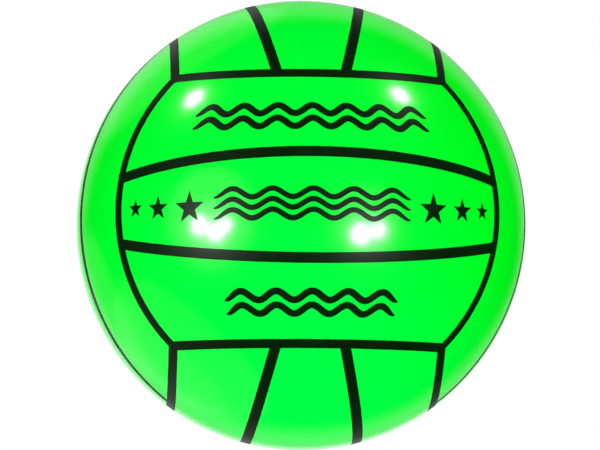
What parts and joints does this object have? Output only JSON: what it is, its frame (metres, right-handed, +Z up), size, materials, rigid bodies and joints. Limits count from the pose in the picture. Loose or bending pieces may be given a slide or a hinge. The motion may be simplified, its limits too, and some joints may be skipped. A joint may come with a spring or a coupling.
{
  "type": "water polo ball",
  "caption": "Wound water polo ball: smooth bright green moulded cover with flush black panel lines, thread winding, air bladder and self-closing needle valve.",
  "frame": {"origin": "centre of the ball", "axes": "-Y looks out of the front panel group, whose panels run left to right; +Z is up; +Y is the valve's axis, pointing out of the ball"},
  "size_m": [0.22, 0.2198, 0.22],
  "materials": {
    "cover_rubber": "glossy smooth",
    "line_ink": "satin",
    "thread": "wound nylon thread set in latex",
    "bladder_rubber": "dull, with a trace of talc",
    "valve_rubber": "satin",
    "core_rubber": "satin"
  },
  "bodies": {
    "root": {"cover": "cover_rubber", "winding": "thread", "bladder": "bladder_rubber", "valve_housing": "valve_rubber", "valve_core": "core_rubber", "front_upper_edge_line": "line_ink", "front_upper_inner_line": "line_ink", "front_lower_edge_line": "line_ink", "front_lower_inner_line": "line_ink", "back_upper_edge_line": "line_ink", "back_upper_inner_line": "line_ink", "back_lower_edge_line": "line_ink", "back_lower_inner_line": "line_ink", "left_rear_edge_line": "line_ink", "left_rear_inner_line": "line_ink", "left_front_edge_line": "line_ink", "left_front_inner_line": "line_ink", "right_rear_edge_line": "line_ink", "right_rear_inner_line": "line_ink", "right_front_edge_line": "line_ink", "right_front_inner_line": "line_ink", "bottom_right_edge_line": "line_ink", "bottom_right_inner_line": "line_ink", "bottom_left_edge_line": "line_ink", "bottom_left_inner_line": "line_ink", "top_right_edge_line": "line_ink", "top_right_inner_line": "line_ink", "top_left_edge_line": "line_ink", "top_left_inner_line": "line_ink"}
  },
  "joints": []
}
